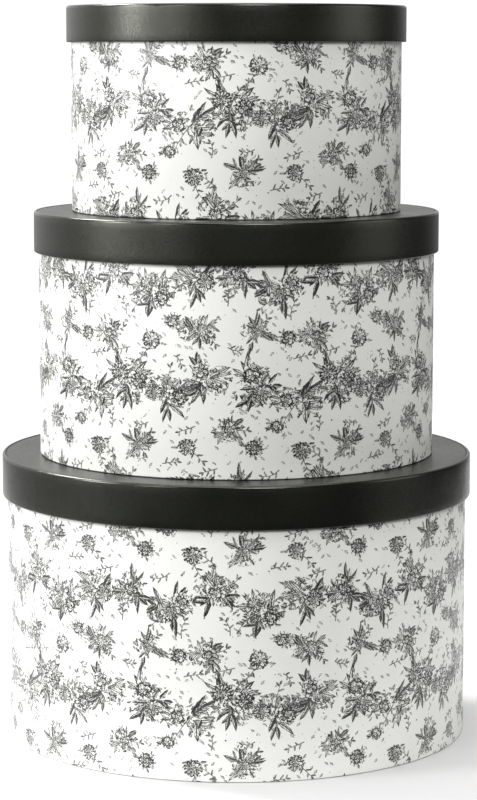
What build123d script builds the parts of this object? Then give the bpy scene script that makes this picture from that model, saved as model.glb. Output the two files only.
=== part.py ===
from build123d import *

import os
from dataclasses import dataclass

# Three round hat boxes of one make, closed and stacked: large, medium, small.
# Each box is a rolled chipboard wall glued round a chipboard base, covered with printed
# paper and lined with plain paper. Each lid is a rolled chipboard rim, wrapped all over in
# leather-grained paper, with a wrapped chipboard disc glued inside it as the lid's top.
# A lid lifts straight off its box, and a box lifts straight off the lid it stands on.
# Millimetres, +Z up, origin at the centre of the large box's underside.

# Lid diameters, measured over the cover paper
LARGE_LID_DIAMETER = 350.0
MEDIUM_LID_DIAMETER = 300.0
SMALL_LID_DIAMETER = 250.0

# Closed heights, from the underside of the box to the top edge of its lid
LARGE_HEIGHT = 210.0
MEDIUM_HEIGHT = 180.0
SMALL_HEIGHT = 150.0

# Depths of the lids' rims, from top edge to bottom edge
LARGE_LID_DEPTH = 31.0
MEDIUM_LID_DEPTH = 30.0
SMALL_LID_DEPTH = 26.5

# Chipboard
WALL_BOARD = 2.0
BASE_BOARD = 2.0
LID_RIM_BOARD = 2.0
LID_TOP_BOARD = 2.0
BOARD_ROUND = 0.6  # softened edges of the cut boards
LID_SHOULDER_ROUND = 1.0  # top outer edge of a lid's rim board
SHARPEST_SHARE = 0.45  # no edge is rounded by more than this share of its board

# Papers
PRINTED_PAPER = 0.3
COVER_PAPER = 0.35
LINING_PAPER = 0.25

# Laps of the papers
WALL_TURN_IN = 16.0  # printed paper folded over the wall's top, down the inside
BASE_TURN_IN = 12.0  # printed paper folded under the base
UNDERSIDE_MARGIN = 5.0  # how far the underside paper stops short of the wall
LID_TOP_SET_DOWN = 0.3  # how far the lid's top lies below the rim's top edge

# Fit of the lid: radial gap between the printed wall and the inside of the lid's rim
LID_CLEARANCE = 0.7

PARTS_FOLDER = "parts"


@dataclass
class HatBox:
    """One closed box of the set. Its underside is at height base_z."""

    name: str
    lid_diameter: float
    height: float
    lid_depth: float
    base_z: float

    # Lid radii, from the outside in
    @property
    def lid_radius(self):
        return self.lid_diameter / 2

    @property
    def rim_outer(self):
        return self.lid_radius - COVER_PAPER

    @property
    def rim_inner(self):
        return self.rim_outer - LID_RIM_BOARD

    @property
    def lid_bore(self):
        return self.rim_inner - COVER_PAPER

    # Box radii, from the outside in
    @property
    def box_radius(self):
        return self.lid_bore - LID_CLEARANCE

    @property
    def wall_outer(self):
        return self.box_radius - PRINTED_PAPER

    @property
    def wall_inner(self):
        return self.wall_outer - WALL_BOARD

    # Heights of the lid's layers, from the top down
    @property
    def top_z(self):
        return self.base_z + self.height

    @property
    def seat_z(self):
        return self.top_z - LID_TOP_SET_DOWN  # the next box stands here

    @property
    def lid_board_top(self):
        return self.seat_z - COVER_PAPER

    @property
    def lid_board_bottom(self):
        return self.lid_board_top - LID_TOP_BOARD

    @property
    def lid_lining_bottom(self):
        return self.lid_board_bottom - LINING_PAPER

    @property
    def rim_top(self):
        return self.top_z - COVER_PAPER

    @property
    def lid_edge_z(self):
        return self.top_z - self.lid_depth

    @property
    def rim_bottom(self):
        return self.lid_edge_z + COVER_PAPER

    # Heights of the box's layers, from the bottom up
    @property
    def wrap_bottom(self):
        return self.base_z + LINING_PAPER

    @property
    def board_bottom(self):
        return self.wrap_bottom + PRINTED_PAPER

    @property
    def base_top(self):
        return self.board_bottom + BASE_BOARD

    @property
    def floor_z(self):
        return self.base_top + LINING_PAPER

    @property
    def box_top(self):
        return self.lid_lining_bottom  # the lid rests on the wall's folded top edge

    @property
    def wall_top(self):
        return self.box_top - PRINTED_PAPER

    @property
    def turn_in_z(self):
        return self.box_top - WALL_TURN_IN


LARGE = HatBox("large", LARGE_LID_DIAMETER, LARGE_HEIGHT, LARGE_LID_DEPTH, 0.0)
MEDIUM = HatBox("medium", MEDIUM_LID_DIAMETER, MEDIUM_HEIGHT, MEDIUM_LID_DEPTH, LARGE.seat_z)
SMALL = HatBox("small", SMALL_LID_DIAMETER, SMALL_HEIGHT, SMALL_LID_DEPTH, MEDIUM.seat_z)
BOXES = [LARGE, MEDIUM, SMALL]

# Rounding of the board edges, limited by the boards they are on
WALL_ROUND = min(BOARD_ROUND, WALL_BOARD * SHARPEST_SHARE)
RIM_ROUND = min(BOARD_ROUND, LID_RIM_BOARD * SHARPEST_SHARE)
SHOULDER_ROUND = min(LID_SHOULDER_ROUND, LID_RIM_BOARD - RIM_ROUND * 1.5)
TOP_ROUND = min(BOARD_ROUND, LID_TOP_BOARD * SHARPEST_SHARE)


def cut_face(inner, outer, bottom, top):
    """Adds one rectangle of a round piece's cut face to the current sketch."""
    with Locations((inner, bottom)):
        Rectangle(outer - inner, top - bottom, align=(Align.MIN, Align.MIN))


def round_corner(radius_from_axis, height, rounding):
    """Rounds the corner of the current sketch at this place in the cut face."""
    corner = vertices().sort_by_distance((radius_from_axis, height, 0))[0]
    fillet(corner, rounding)


def box_wall(box):
    """Rolled chipboard tube. Its edges are soft, but for the inner one beside the base."""
    with BuildPart() as wall:
        with BuildSketch(Plane.XZ):
            cut_face(box.wall_inner, box.wall_outer, box.board_bottom, box.wall_top)
            round_corner(box.wall_outer, box.wall_top, WALL_ROUND)
            round_corner(box.wall_inner, box.wall_top, WALL_ROUND)
            round_corner(box.wall_outer, box.board_bottom, WALL_ROUND)
        revolve(axis=Axis.Z)
    return wall


def box_base(box):
    """Chipboard disc glued inside the bottom of the wall."""
    with BuildPart() as base:
        with BuildSketch(Plane.XY.offset(box.board_bottom)):
            Circle(box.wall_inner)
        extrude(amount=BASE_BOARD)
    return base


def box_printed_wrap(box):
    """Printed paper round the wall, folded over its top edge and under the base."""
    fold = WALL_ROUND + PRINTED_PAPER
    inside = box.wall_inner - PRINTED_PAPER
    under = box.box_radius - BASE_TURN_IN
    with BuildPart() as wrap:
        with BuildSketch(Plane.XZ):
            cut_face(inside, box.box_radius, box.turn_in_z, box.box_top)
            cut_face(box.wall_outer - WALL_ROUND, box.box_radius, box.wrap_bottom, box.box_top)
            cut_face(under, box.box_radius, box.wrap_bottom, box.board_bottom)
            round_corner(box.box_radius, box.box_top, fold)
            round_corner(inside, box.box_top, fold)
            round_corner(box.box_radius, box.wrap_bottom, fold)
        revolve(axis=Axis.Z)
        add(box_wall(box).part, mode=Mode.SUBTRACT)
    return wrap


def box_wall_lining(box):
    """Plain paper round the inside of the wall, from the floor up to the printed fold."""
    with BuildPart() as lining:
        with BuildSketch(Plane.XZ):
            cut_face(box.wall_inner - LINING_PAPER, box.wall_inner, box.floor_z, box.turn_in_z)
        revolve(axis=Axis.Z)
    return lining


def box_floor_lining(box):
    """Plain paper disc pasted on the base, inside the box."""
    with BuildPart() as lining:
        with BuildSketch(Plane.XY.offset(box.base_top)):
            Circle(box.wall_inner)
        extrude(amount=LINING_PAPER)
    return lining


def box_underside_paper(box):
    """Plain paper disc that covers the fold under the base. The box stands on it."""
    with BuildPart() as paper:
        with BuildSketch(Plane.XY.offset(box.base_z)):
            Circle(box.box_radius - UNDERSIDE_MARGIN)
        extrude(amount=LINING_PAPER)
    return paper


def lid_rim_board(box):
    """Rolled chipboard ring with soft edges, the fullest one at its top outside."""
    with BuildPart() as rim:
        with BuildSketch(Plane.XZ):
            cut_face(box.rim_inner, box.rim_outer, box.rim_bottom, box.rim_top)
            round_corner(box.rim_outer, box.rim_top, SHOULDER_ROUND)
            round_corner(box.rim_inner, box.rim_top, RIM_ROUND)
            round_corner(box.rim_outer, box.rim_bottom, RIM_ROUND)
            round_corner(box.rim_inner, box.rim_bottom, RIM_ROUND)
        revolve(axis=Axis.Z)
    return rim


def lid_rim_cover(box):
    """Grained paper wrapped all the way round the rim board, outside and inside."""
    fold = RIM_ROUND + COVER_PAPER
    shoulder = SHOULDER_ROUND + COVER_PAPER
    with BuildPart() as cover:
        with BuildSketch(Plane.XZ):
            cut_face(box.lid_bore, box.lid_radius, box.lid_edge_z, box.top_z)
            round_corner(box.lid_radius, box.top_z, shoulder)
            round_corner(box.lid_bore, box.top_z, fold)
            round_corner(box.lid_radius, box.lid_edge_z, fold)
            round_corner(box.lid_bore, box.lid_edge_z, fold)
        revolve(axis=Axis.Z)
        add(lid_rim_board(box).part, mode=Mode.SUBTRACT)
    return cover


def lid_top_board(box):
    """Chipboard disc inside the top of the rim, with a soft upper edge."""
    radius = box.lid_bore - COVER_PAPER
    with BuildPart() as top:
        with BuildSketch(Plane.XZ):
            cut_face(0, radius, box.lid_board_bottom, box.lid_board_top)
            round_corner(radius, box.lid_board_top, TOP_ROUND)
        revolve(axis=Axis.Z)
    return top


def lid_top_cover(box):
    """Grained paper over the top board and down its edge, glued inside the rim."""
    with BuildPart() as cover:
        with BuildSketch(Plane.XZ):
            cut_face(0, box.lid_bore, box.lid_board_bottom, box.seat_z)
            round_corner(box.lid_bore, box.seat_z, TOP_ROUND + COVER_PAPER)
        revolve(axis=Axis.Z)
        add(lid_top_board(box).part, mode=Mode.SUBTRACT)
    return cover


def lid_lining(box):
    """Plain paper disc under the lid's top. It rests on the top edge of the box."""
    with BuildPart() as lining:
        with BuildSketch(Plane.XY.offset(box.lid_lining_bottom)):
            Circle(box.lid_bore)
        extrude(amount=LINING_PAPER)
    return lining


PIECES = [
    box_wall,
    box_base,
    box_printed_wrap,
    box_wall_lining,
    box_floor_lining,
    box_underside_paper,
    lid_rim_board,
    lid_rim_cover,
    lid_top_board,
    lid_top_cover,
    lid_lining,
]

os.makedirs(PARTS_FOLDER, exist_ok=True)
for box in BOXES:
    for piece in PIECES:
        sub_part = piece(box)
        sub_part.part.label = f"{box.name}_{piece.__name__}"
        export_step(sub_part.part, f"{PARTS_FOLDER}/{sub_part.part.label}.step")
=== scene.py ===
"""Three round hat boxes of one make, closed and stacked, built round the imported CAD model."""

import math
import random

import bmesh
import bpy
import numpy as np
from bpy.props import FloatProperty, FloatVectorProperty, IntProperty, IntVectorProperty, PointerProperty
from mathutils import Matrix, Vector
from mathutils.bvhtree import BVHTree
from mathutils.geometry import delaunay_2d_cdt


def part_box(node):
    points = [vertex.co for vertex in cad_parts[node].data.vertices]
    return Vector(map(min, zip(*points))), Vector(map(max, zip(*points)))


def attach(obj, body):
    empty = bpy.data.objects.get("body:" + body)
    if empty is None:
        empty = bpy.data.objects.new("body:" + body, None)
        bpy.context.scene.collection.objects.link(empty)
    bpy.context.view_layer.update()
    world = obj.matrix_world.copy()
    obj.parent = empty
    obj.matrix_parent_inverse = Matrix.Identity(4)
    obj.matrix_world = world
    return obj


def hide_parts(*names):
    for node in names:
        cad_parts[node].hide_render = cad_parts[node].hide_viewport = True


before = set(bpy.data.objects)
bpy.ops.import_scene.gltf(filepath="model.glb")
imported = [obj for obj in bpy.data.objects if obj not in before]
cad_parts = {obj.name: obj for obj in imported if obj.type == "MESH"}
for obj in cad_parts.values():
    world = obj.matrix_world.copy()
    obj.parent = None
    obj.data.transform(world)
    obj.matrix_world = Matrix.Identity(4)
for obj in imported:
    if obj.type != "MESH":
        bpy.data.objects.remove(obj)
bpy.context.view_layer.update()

bl_info = {
    "name": "Hat Box Set",
    "version": (1, 0, 0),
    "blender": (4, 5, 0),
    "location": "View3D > Sidebar > Hat Boxes",
    "description": "Covers, linings and studio for a set of three stacked hat boxes",
    "category": "Object",
}

SIZES = ("large", "medium", "small")
MM = 0.001
ON_THE_CUT = 1e-7  # nearer to a cut than this, a point lies on it
BLACK = (0.0, 0.0, 0.0, 1.0)


# Measures of the set, read from the CAD nodes


class BoxMeasures:
    """Radii and heights of one box and its lid, in metres."""

    def __init__(self, size):
        self.size = size
        self.number = SIZES.index(size)
        wrap_low, wrap_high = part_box(f"{size}_box_printed_wrap")
        self.radius = wrap_high.x
        self.wrap_bottom = wrap_low.z
        self.box_top = wrap_high.z
        self.wall_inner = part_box(f"{size}_box_floor_lining")[1].x
        self.turn_in_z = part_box(f"{size}_box_wall_lining")[1].z
        rim_low, rim_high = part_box(f"{size}_lid_rim_cover")
        self.lid_radius = rim_high.x
        self.lid_top = rim_high.z
        self.lid_edge = rim_low.z
        top_low, top_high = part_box(f"{size}_lid_top_cover")
        self.bore = top_high.x
        self.seat = top_high.z
        self.skirt_bottom = top_low.z


def round_path(corners, roundings, steps):
    """Points along a path of straight runs, with an arc at each corner that has a rounding."""
    points = [corners[0]]
    for i in range(1, len(corners) - 1):
        here = Vector(corners[i])
        before = (Vector(corners[i - 1]) - here).normalized()
        after = (Vector(corners[i + 1]) - here).normalized()
        size = roundings[i]
        centre = here + (before + after) * size
        start = here + before * size - centre
        for k in range(steps + 1):
            turn = math.pi / 2 * k / steps
            if start.cross(here + after * size - centre) < 0:
                turn = -turn
            cos, sin = math.cos(turn), math.sin(turn)
            x, y = start
            points.append((centre.x + x * cos - y * sin, centre.y + x * sin + y * cos))
    points.append(corners[-1])
    return points


# The floral print, drawn flat in millimetres

TILE = (153.0, 150.0)  # width and height of one repeat
SLIDE = (0.2, -1.7)  # moves the drawing so that no outline grazes the edge of the repeat
EDGE_MARGIN = 0.001  # a triangle whose middle is nearer to the edge of the repeat is left out
SAME_POINT = 1e-4  # nearer points are one
STRAIGHT = 1e-5  # a corner that turns less than this is left out

PAPER, BLADE, PETAL, ROSE, FRILL, THICKET, INK = range(7)  # in the order of the print's finishes

OUTLINES = {
    PETAL: lambda t: t ** 0.6 * math.sqrt(1 - t ** 4) * 1.15,
    BLADE: lambda t: math.sin(math.pi * t ** 0.8),
}

# Place and size of each bouquet, and its flowers: r for a rose, c for a carnation, b for a bud
BOUQUETS = (
    (14, 40, 19, "rc"), (44, 29, 17, "rb"), (72, 41, 20, "rcb"), (103, 32, 18, "cr"), (131, 44, 18, "rb"),
    (30, 107, 17, "crb"), (62, 117, 16, "r"), (94, 104, 18, "rc"), (124, 114, 17, "cb"), (1, 117, 15, "r"),
    (56, 74, 13, "r"), (128, 78, 13, "c"), (14, 76, 11, "c"), (82, 146, 12, "c"), (148, 8, 11, "r"),
)
LOOSE_CARNATIONS = ((92, 70, 7.5), (46, 143, 7.5), (118, 146, 7))
LOOSE_ROSES = ((36, 72, 6.0), (108, 84, 5.5), (12, 146, 6.5), (28, 10, 5.5))
LOOSE_SPRIGS = (
    (38, 58), (74, 62), (110, 62), (144, 66), (70, 88), (36, 86), (146, 92), (100, 132),
    (64, 138), (30, 131), (138, 133), (58, 8), (88, 12), (122, 12),
)
STRAY_MARKS = 24


class Design:
    """The flat drawing of one repeat: a list of overlapping motifs, the last one on top."""

    def __init__(self, seed):
        self.random = random.Random(seed)
        self.shapes = []

    def add(self, points, kind, tone, place, size):
        """Puts one motif on top. Its outline runs counter-clockwise."""
        area = sum(a[0] * b[1] - b[0] * a[1] for a, b in zip(points, points[1:] + points[:1]))
        self.shapes.append((points if area > 0 else points[::-1], kind, tone, place, size))

    def blade(self, kind, x, y, angle, length, width, bend=0.0, tone=0.5, steps=4):
        """One leaf or petal of this length and half width."""
        cos, sin = math.cos(angle), math.sin(angle)
        ts = [(1 - math.cos(math.pi * i / steps)) / 2 for i in range(steps + 1)]
        edge = [(length * t, bend * length * t * t, width * OUTLINES[kind](t)) for t in ts]
        local = [(a, b + half) for a, b, half in edge] + [(a, b - half) for a, b, half in edge[-2:0:-1]]
        points = [(x + a * cos - b * sin, y + a * sin + b * cos) for a, b in local]
        self.add(points, kind, tone, (x, y, angle), (length, width, bend))

    def stem(self, points, width=0.42, tone=0.7):
        """A thin line through the points, tapering to its end."""
        left, right = [], []
        for i, (x, y) in enumerate(points):
            a, b = points[max(i - 1, 0)], points[min(i + 1, len(points) - 1)]
            dx, dy = b[0] - a[0], b[1] - a[1]
            run = math.hypot(dx, dy) or 1
            half = width * (1 - 0.6 * i / (len(points) - 1))
            left.append((x - dy / run * half, y + dx / run * half))
            right.append((x + dy / run * half, y - dx / run * half))
        x, y = points[0]
        self.add(left + right[::-1], INK, tone, (x, y, 0), (10, 1, 0))

    def curve(self, x, y, angle, length, bend, steps=3):
        """Points of a curve that leaves x, y at this angle and turns by bend, and its last angle."""
        points = [(x, y)]
        for i in range(steps):
            x, y = points[-1]
            points.append((x + length / steps * math.cos(angle), y + length / steps * math.sin(angle)))
            angle += bend / steps
        return points, angle

    def patch(self, kind, x, y, radius, lobes, corners, squash=0.88, ragged=0.1):
        """A round motif with a lobed outline, whose finish draws what is in it."""
        rnd = self.random
        turn = rnd.uniform(0, 2 * math.pi)
        points = []
        for i in range(corners):
            a = 2 * math.pi * i / corners
            lobe = abs(math.sin(lobes * (a + turn) / 2))
            r = radius * (1 - ragged + ragged * lobe + rnd.uniform(-0.04, 0.04))
            points.append((x + r * math.cos(a), y + r * math.sin(a) * squash))
        self.add(points, kind, rnd.random(), (x, y, turn), (radius, radius * squash, 0))

    def rose(self, x, y, radius):
        """A full rose over five loose outer petals."""
        rnd = self.random
        for i in range(5):
            a = rnd.uniform(0, 2 * math.pi)
            self.blade(
                PETAL, x + radius * 0.45 * math.cos(a), y + radius * 0.4 * math.sin(a), a, radius * 0.75,
                radius * 0.42, rnd.uniform(-0.2, 0.2), rnd.uniform(0.3, 1.0),
            )
        self.patch(ROSE, x, y, radius, 5, 15)

    def carnation(self, x, y, radius):
        """A round flower with a frilled edge."""
        self.patch(FRILL, x, y, radius, 9, 22, 0.92, 0.2)

    def spray(self, x, y, middle, count, length, dark):
        """Curved pointed leaves that leave a short twig on both sides."""
        rnd = self.random
        twig, last = self.curve(x, y, middle, length * 0.5, rnd.uniform(-0.6, 0.6))
        for i in range(count):
            px, py = twig[min(i * len(twig) // count, len(twig) - 1)]
            side = 1 if i % 2 else -1
            a = middle + side * rnd.uniform(0.15, 1.25)
            size = length * rnd.uniform(0.5, 1.15)
            self.blade(
                BLADE, px + rnd.uniform(-1, 1), py + rnd.uniform(-1, 1), a, size,
                size * rnd.uniform(0.12, 0.18) + 0.2, -side * rnd.uniform(0.0, 0.5),
                min(1, max(0, dark + rnd.uniform(-0.5, 0.4))), 3,
            )
        x, y = twig[-1]
        self.blade(BLADE, x, y, last, length * 0.7, length * 0.1 + 0.3, rnd.uniform(-0.3, 0.3), dark)
        self.stem(twig, 0.5)

    def leaves(self, x, y, radius, count, size=4.5):
        """Small leaves strewn round a place, pointing away from it."""
        rnd = self.random
        for i in range(count):
            a, r = rnd.uniform(0, 2 * math.pi), radius * rnd.uniform(0.5, 1.05)
            px, py = x + r * math.cos(a), y + r * math.sin(a) * 0.8
            n = size * rnd.uniform(0.7, 1.25)
            lean = a + rnd.uniform(-0.9, 0.9)
            self.blade(BLADE, px, py, lean, n, n * 0.26, rnd.uniform(-0.3, 0.3), rnd.uniform(0.1, 1.0), 3)

    def sprig(self, x, y, angle, length, bend, leaf=4.2, pairs=5, width=0.4):
        """A twig with small leaves on both sides and a bud at its end."""
        rnd = self.random
        points, last = self.curve(x, y, angle, length, bend)
        for i in range(1, pairs + 1):
            k = i * (len(points) - 1) / (pairs + 0.3)
            j = min(int(k), len(points) - 2)
            f = k - j
            px = points[j][0] + (points[j + 1][0] - points[j][0]) * f
            py = points[j][1] + (points[j + 1][1] - points[j][1]) * f
            side = 1 if i % 2 else -1
            a = angle + bend * k / len(points) + side * rnd.uniform(0.5, 1.0)
            size = leaf * rnd.uniform(0.8, 1.3)
            self.blade(BLADE, px, py, a, size, leaf * 0.24, side * 0.2, rnd.uniform(0.3, 1.0), 3)
        self.stem(points, width)
        self.blade(BLADE, points[-1][0], points[-1][1], last, leaf * 0.8, leaf * 0.26, 0, 1.0, 3)

    def floret(self, x, y, size):
        """A tiny flower of five petals."""
        turn = self.random.uniform(0, 6)
        for i in range(5):
            self.blade(PETAL, x, y, turn + i * 2 * math.pi / 5, size, size * 0.45, 0, 0.8, 3)

    def speck(self, x, y, size):
        """A small dot with five uneven corners."""
        rnd = self.random
        turn = rnd.uniform(0, 6)
        points = []
        for i in range(5):
            r = size * rnd.uniform(0.6, 1.1)
            points.append((x + r * math.cos(turn + i * 1.2566), y + r * math.sin(turn + i * 1.2566)))
        self.add(points, INK, rnd.uniform(0.3, 0.8), (x, y, 0), (1, 1, 0))

    def bouquet(self, x, y, size, flowers):
        """A cluster: thicket and leaf sprays behind, then flowers and buds."""
        rnd = self.random
        for i in range(3):
            a = rnd.uniform(0, 2 * math.pi)
            px, py = x + size * 0.5 * math.cos(a), y + size * 0.3 * math.sin(a)
            self.patch(THICKET, px, py, size * rnd.uniform(0.6, 0.85), 7, 10, 0.75, 0.2)
        self.leaves(x, y, size * 0.85, 6)
        start = rnd.uniform(0, 2 * math.pi)
        for i in range(3):
            a = start + i * 2.1 + rnd.uniform(-0.4, 0.4)
            px, py = x + size * 0.2 * math.cos(a), y + size * 0.15 * math.sin(a)
            self.spray(px, py, a, 5, max(size * 0.76, 9.5), rnd.choice((0.35, 0.9)))
        self.sprig(x, y, start + 1.0, size * 1.15, rnd.uniform(-1, 1))
        turn = rnd.uniform(0, 2 * math.pi)
        for i, bloom in enumerate(flowers):
            a = turn + i * 2 * math.pi / len(flowers)
            r = 0 if len(flowers) == 1 else size * 0.42
            px, py = x + r * math.cos(a) * 1.25, y + r * math.sin(a) * 0.75
            if bloom == "r":
                self.rose(px, py, size * rnd.uniform(0.34, 0.42))
            elif bloom == "c":
                self.carnation(px, py, size * rnd.uniform(0.36, 0.44))
            else:
                self.leaves(px, py, 2.5, 3, 6.5)


def draw(seed):
    """Composes one repeat: two garlands of bouquets, with loose flowers and twigs between them."""
    design = Design(seed)
    rnd = design.random
    for x, y, size, flowers in BOUQUETS:
        design.bouquet(x, y, size, flowers)
    for x, y, radius in LOOSE_CARNATIONS:
        design.leaves(x, y, radius, 5)
        design.sprig(x, y, rnd.uniform(0, 6), radius * 2.2, rnd.uniform(-1, 1))
        design.carnation(x, y, radius)
    for x, y, radius in LOOSE_ROSES:
        design.leaves(x, y, radius, 5)
        design.rose(x, y, radius)
    for x, y in LOOSE_SPRIGS:
        px, py = x + rnd.uniform(-3, 3), y + rnd.uniform(-3, 3)
        design.sprig(px, py, rnd.uniform(0, 6), rnd.uniform(9, 14), rnd.uniform(-1.2, 1.2), 3.8)
    for i in range(STRAY_MARKS):
        x, y = rnd.uniform(0, TILE[0]), rnd.uniform(0, TILE[1])
        if rnd.random() < 0.12:
            design.floret(x, y, rnd.uniform(1.6, 2.4))
        else:
            design.speck(x, y, rnd.uniform(0.4, 0.95))
    return design


def middle_inside(points, face):
    """The middle of a triangle, or nothing if it is outside the repeat."""
    x = sum(points[i].x for i in face) / 3
    y = sum(points[i].y for i in face) / 3
    margin = EDGE_MARGIN
    return (x, y, 0.0) if margin < x < TILE[0] - margin and margin < y < TILE[1] - margin else None


def lay_shapes(design):
    """All shapes laid over each other as triangles, with the topmost shape of each triangle."""
    w, h = TILE
    verts, faces, owners = [], [], []
    for shape in design.shapes:
        points = shape[0]
        xs, ys = [p[0] for p in points], [p[1] for p in points]
        for sx in (SLIDE[0] - w, SLIDE[0], SLIDE[0] + w):
            for sy in (SLIDE[1] - h, SLIDE[1], SLIDE[1] + h):
                if max(xs) + sx < 0 or min(xs) + sx > w or max(ys) + sy < 0 or min(ys) + sy > h:
                    continue
                faces.append(list(range(len(verts), len(verts) + len(points))))
                owners.append((shape, sx, sy))
                verts += [Vector((x + sx, y + sy)) for x, y in points]
    corner = len(verts)
    verts += [Vector((0, 0)), Vector((w, 0)), Vector((w, h)), Vector((0, h))]
    faces.append([corner, corner + 1, corner + 2, corner + 3])
    points, _, cut_faces, _, _, origins = delaunay_2d_cdt(verts, [], faces, 1, SAME_POINT)
    triangles, tops = [], []
    for face, shapes in zip(cut_faces, origins):
        if middle_inside(points, face):
            triangles.append(tuple(face))
            tops.append(max((k for k in shapes if k < len(owners)), default=-1))
    return points, triangles, tops, owners


def seen_outlines(points, triangles, tops):
    """The edges between different shapes, straight runs made one edge: for each point, its neighbours."""
    sides = {}
    for n, face in enumerate(triangles):
        for a, b in zip(face, face[1:] + face[:1]):
            sides.setdefault((min(a, b), max(a, b)), []).append(tops[n])
    ends = {}
    for (a, b), shapes in sides.items():
        if len(shapes) == 1 or shapes[0] != shapes[1]:
            ends.setdefault(a, []).append(b)
            ends.setdefault(b, []).append(a)
    for p in list(ends):
        if len(ends[p]) == 2:
            a, b = ends[p]
            u, t = points[a] - points[p], points[b] - points[p]
            turn = abs(u.x * t.y - u.y * t.x)
            if a != b and turn < STRAIGHT * max(u.length * t.length, 1e-9) and b not in ends[a]:
                ends[a].remove(p)
                ends[b].remove(p)
                ends[a].append(b)
                ends[b].append(a)
                del ends[p]
    return ends


def cut(design, strips=10):
    """The repeat as flat triangles that share their edges: points, triangles, and what each one shows.

    Only the edges between different shapes are seen, so the sheet is cut along those alone.
    """
    points, triangles, tops, owners = lay_shapes(design)
    ends = seen_outlines(points, triangles, tops)
    used = {p: n for n, p in enumerate(ends)}
    flat = [points[p] for p in ends]
    edges = [(used[a], used[b]) for a in ends for b in ends[a] if a < b]
    for i in range(1, strips):
        edges.append((len(flat), len(flat) + 1))
        flat += [Vector((TILE[0] * i / strips, 0)), Vector((TILE[0] * i / strips, TILE[1]))]
    sheet, _, faces, _, _, _ = delaunay_2d_cdt(flat, edges, [], 0, SAME_POINT)
    tree = BVHTree.FromPolygons([(p.x, p.y, 0.0) for p in points], triangles)
    kept, shown = [], []
    for face in faces:
        middle = middle_inside(sheet, face)
        if middle:
            top = tops[tree.find_nearest(middle)[2]]
            kept.append(tuple(face))
            shown.append(owners[top] if top >= 0 else None)
    return [(p.x, p.y) for p in sheet], kept, shown


# Node trees


def node_method(operation):
    """A method of Value that adds a math node with this operation."""
    return lambda value, *others: value.nodes.math(operation, value, *others)


class Value:
    """An output of a node. Sums, products and comparisons with it add their own nodes."""

    def __init__(self, nodes, socket):
        self.nodes = nodes
        self.socket = socket

    __add__ = node_method("ADD")
    __sub__ = node_method("SUBTRACT")
    __mul__ = node_method("MULTIPLY")
    __truediv__ = node_method("DIVIDE")
    __pow__ = node_method("POWER")
    __lt__ = node_method("LESS_THAN")
    __gt__ = node_method("GREATER_THAN")
    __or__ = node_method("MAXIMUM")  # the darker of two inks
    __abs__ = node_method("ABSOLUTE")
    floor = node_method("FLOOR")

    def __rsub__(self, other):
        return self.nodes.math("SUBTRACT", other, self)

    def zigzag(self):
        """Goes up and down between 0 and a half, once for each whole number."""
        return self.nodes.math("PINGPONG", self, 0.5)

    def clamped(self):
        """The same value, held between 0 and 1."""
        self.socket.node.use_clamp = True
        return self


class Nodes:
    """Short calls for adding nodes to one tree."""

    def __init__(self, tree):
        self.tree = tree

    def feed(self, socket, value):
        """Links a value to a socket, or sets it there."""
        if isinstance(value, Value):
            self.tree.links.new(value.socket, socket)
        else:
            socket.default_value = value

    def add(self, kind, inputs=None, **settings):
        """Adds one node with these settings, and then feeds its inputs, which can change with them."""
        node = self.tree.nodes.new(kind)
        for name, value in settings.items():
            setattr(node, name, value)
        for name, value in (inputs or {}).items():
            self.feed(node.inputs[name], value)
        return node

    def taps(self, kind, names, inputs=None, **settings):
        """Adds one node and gives several of its outputs."""
        node = self.add(kind, inputs, **settings)
        return [Value(self, node.outputs[name]) for name in names]

    def tap(self, kind, name, inputs=None, **settings):
        """Adds one node and gives one of its outputs."""
        return self.taps(kind, (name,), inputs, **settings)[0]

    def math(self, operation, *values):
        """A sum, product or other operation on numbers."""
        return self.tap("ShaderNodeMath", 0, dict(enumerate(values)), operation=operation)

    def vector(self, operation, *values):
        """A vector operation, or the number that it gives."""
        output = "Value" if operation in ("LENGTH", "DOT_PRODUCT") else "Vector"
        return self.tap("ShaderNodeVectorMath", output, dict(enumerate(values)), operation=operation)

    def split(self, vector):
        """The three numbers of a vector."""
        return self.taps("ShaderNodeSeparateXYZ", (0, 1, 2), {0: vector})

    def mix(self, factor, first, second):
        """A colour between two, by factor."""
        inputs = {0: factor, 6: first, 7: second}
        return self.tap("ShaderNodeMix", 2, inputs, data_type="RGBA", clamp_factor=True)

    def shaded(self, colour, shade):
        """A colour made darker by shade."""
        return self.mix(shade, BLACK, (*colour, 1.0))

    def spread(self, value, low, high, to_low=0.0, to_high=1.0):
        """Maps low..high to to_low..to_high, clamped."""
        inputs = {"Value": value, "From Min": low, "From Max": high, "To Min": to_low, "To Max": to_high}
        return self.tap("ShaderNodeMapRange", 0, inputs)

    def noise(self, place, scale, detail=2.0, roughness=0.5):
        """Soft random clouds, from 0 to 1."""
        inputs = {"Vector": place, "Scale": scale, "Detail": detail, "Roughness": roughness}
        return self.tap("ShaderNodeTexNoise", "Fac", inputs)

    def object_place(self):
        """The place on the object, in metres."""
        return self.tap("ShaderNodeTexCoord", "Object")

    def map_place(self, name):
        """The place on the UV map of this name."""
        return self.tap("ShaderNodeUVMap", 0, uv_map=name)

    def tone(self):
        """The motif's own random tone, from 0 to 1."""
        return self.tap("ShaderNodeAttribute", "Fac", attribute_name="tone", attribute_type="GEOMETRY")

    def bump(self, height, strength, distance):
        """Surface directions for a fine relief."""
        return self.tap("ShaderNodeBump", 0, {"Height": height, "Strength": strength, "Distance": distance})


def new_material(name):
    """A material with its node calls and the inputs of its shader."""
    material = bpy.data.materials.new(name)
    material.use_nodes = True
    return material, Nodes(material.node_tree), material.node_tree.nodes["Principled BSDF"].inputs


# Papers and boards

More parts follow.
